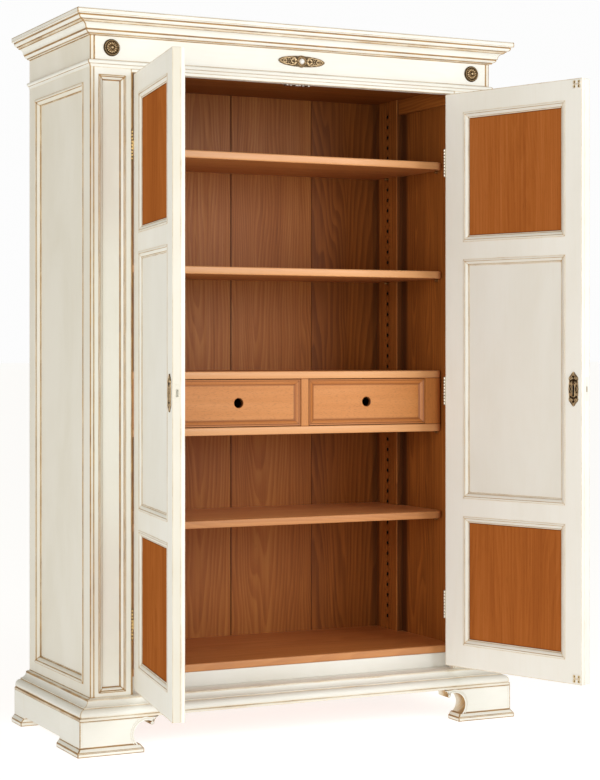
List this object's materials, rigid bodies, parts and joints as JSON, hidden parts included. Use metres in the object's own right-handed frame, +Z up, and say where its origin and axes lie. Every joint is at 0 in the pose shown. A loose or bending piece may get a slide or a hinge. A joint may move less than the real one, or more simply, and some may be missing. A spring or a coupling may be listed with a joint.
{
  "type": "wardrobe cabinet",
  "caption": "Tall painted wooden cabinet with panelled doors standing open, moulded cornice and plinth, bracket feet, wooden shelves and an inner drawer unit.",
  "frame": {"origin": "on the floor, at the bottom centre of the whole stored object with its doors open", "axes": "+Z up, +Y to the back of the cabinet, +X to the right when facing the doors"},
  "size_m": [1.33, 0.992, 1.95],
  "materials": {
    "cream_paint": "worn cream paint with brown glaze in the mouldings",
    "brown_wood": "satin brown stain",
    "orange_wood": "satin lighter brown stain",
    "raw_wood": "unfinished",
    "bronze": "antique, aged",
    "brass": "satin",
    "steel": "satin"
  },
  "bodies": {
    "carcass": {"cornice_front": "cream_paint", "cornice_sides": "cream_paint", "top_board": "raw_wood", "frieze_board": "cream_paint", "header_rail": "cream_paint", "astragal": "cream_paint", "pilaster_left": "cream_paint", "pilaster_right": "cream_paint", "carcass_mouldings": "cream_paint", "side_frame_left": "cream_paint", "side_frame_right": "cream_paint", "side_panels": "cream_paint", "inner_lining_left": "brown_wood", "inner_lining_right": "brown_wood", "inner_battens": "raw_wood", "back_planks": "brown_wood", "shelf_posts": "brown_wood", "ceiling_panel": "brown_wood", "floor_panel": "brown_wood", "bottom_rail": "cream_paint", "base_frame": "raw_wood", "plinth_moulding": "cream_paint", "foot_front_left": "cream_paint", "foot_front_right": "cream_paint", "feet_rear": "cream_paint", "side_aprons": "cream_paint", "shelf_lower": "brown_wood", "shelf_middle": "brown_wood", "shelf_upper": "brown_wood", "shelf_pins": "brass", "drawer_unit_bottom": "brown_wood", "drawer_unit_top": "brown_wood", "drawer_unit_uprights": "brown_wood", "door_catch": "steel", "rosettes": "bronze", "centre_ornament": "bronze", "ornament_cabochon": "bronze", "hinge_leaves_frame": "brass", "hinge_pins": "brass"},
    "left_door": {"left_door_frame": "cream_paint", "left_door_middle_panel": "cream_paint", "left_door_wood_panels": "brown_wood", "left_door_mouldings": "cream_paint", "left_door_plates": "brass", "left_door_hinge_leaves": "brass", "left_door_escutcheon": "bronze"},
    "right_door": {"right_door_frame": "cream_paint", "right_door_middle_panel": "cream_paint", "right_door_wood_panels": "brown_wood", "right_door_mouldings": "cream_paint", "right_door_plates": "brass", "right_door_hinge_leaves": "brass", "right_door_escutcheons": "bronze", "lock_case": "steel"},
    "lock_bolt_body": {"lock_bolt": "steel"},
    "left_drawer": {"left_drawer_front": "orange_wood", "left_drawer_box": "raw_wood"},
    "right_drawer": {"right_drawer_front": "orange_wood", "right_drawer_box": "raw_wood"}
  },
  "joints": [
    {"name": "left_door_hinge", "type": "hinge", "parent": "carcass", "child": "left_door", "pos_m": [-0.492, -0.009, 0.957], "axis": [0, 0, -1], "range_deg": [-100, 50]},
    {"name": "right_door_hinge", "type": "hinge", "parent": "carcass", "child": "right_door", "pos_m": [0.492, -0.009, 0.957], "axis": [0, 0, 1], "range_deg": [-108.8, 41.2]},
    {"name": "lock_bolt_slide", "type": "slide", "parent": "right_door", "child": "lock_bolt_body", "axis": [0.3223, -0.9466, 0], "range_m": [0, 0.009]},
    {"name": "left_drawer_slide", "type": "slide", "parent": "carcass", "child": "left_drawer", "axis": [0, -1, 0], "range_m": [0, 0.28]},
    {"name": "right_drawer_slide", "type": "slide", "parent": "carcass", "child": "right_drawer", "axis": [0, -1, 0], "range_m": [0, 0.28]}
  ]
}
